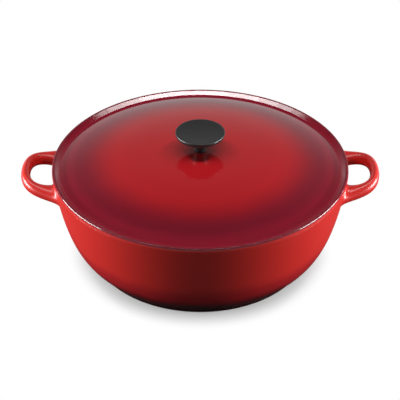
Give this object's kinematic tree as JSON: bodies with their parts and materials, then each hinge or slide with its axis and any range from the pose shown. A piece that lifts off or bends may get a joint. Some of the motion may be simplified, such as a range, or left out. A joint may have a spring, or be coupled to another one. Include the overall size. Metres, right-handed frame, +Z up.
{
  "type": "soup pot",
  "caption": "Wide round enamelled cast-iron soup pot with a rounded belly, cast loop handles and a domed lift-off lid with a black knob.",
  "frame": {"origin": "on the table under the middle of the pot", "axes": "+Z up, +X through the two loop handles"},
  "size_m": [0.387, 0.3188, 0.1479],
  "materials": {
    "red_enamel": "cast iron under glossy red vitreous enamel, darker to the foot, pale enamel inside",
    "lid_enamel": "cast iron under glossy red vitreous enamel that darkens to the rim, pale enamel underneath",
    "black_phenolic": "satin moulded phenolic",
    "brass": "turned",
    "stainless_steel": "satin"
  },
  "bodies": {
    "pot": {"pot": "red_enamel"},
    "lid": {"lid": "lid_enamel", "lid_knob": "black_phenolic", "knob_insert": "brass", "knob_screw": "stainless_steel", "knob_washer": "stainless_steel"}
  },
  "joints": [
    {"name": "lid_lift", "type": "slide", "parent": "pot", "child": "lid", "axis": [0, 0, 1], "range_m": [0, 0.25]}
  ]
}
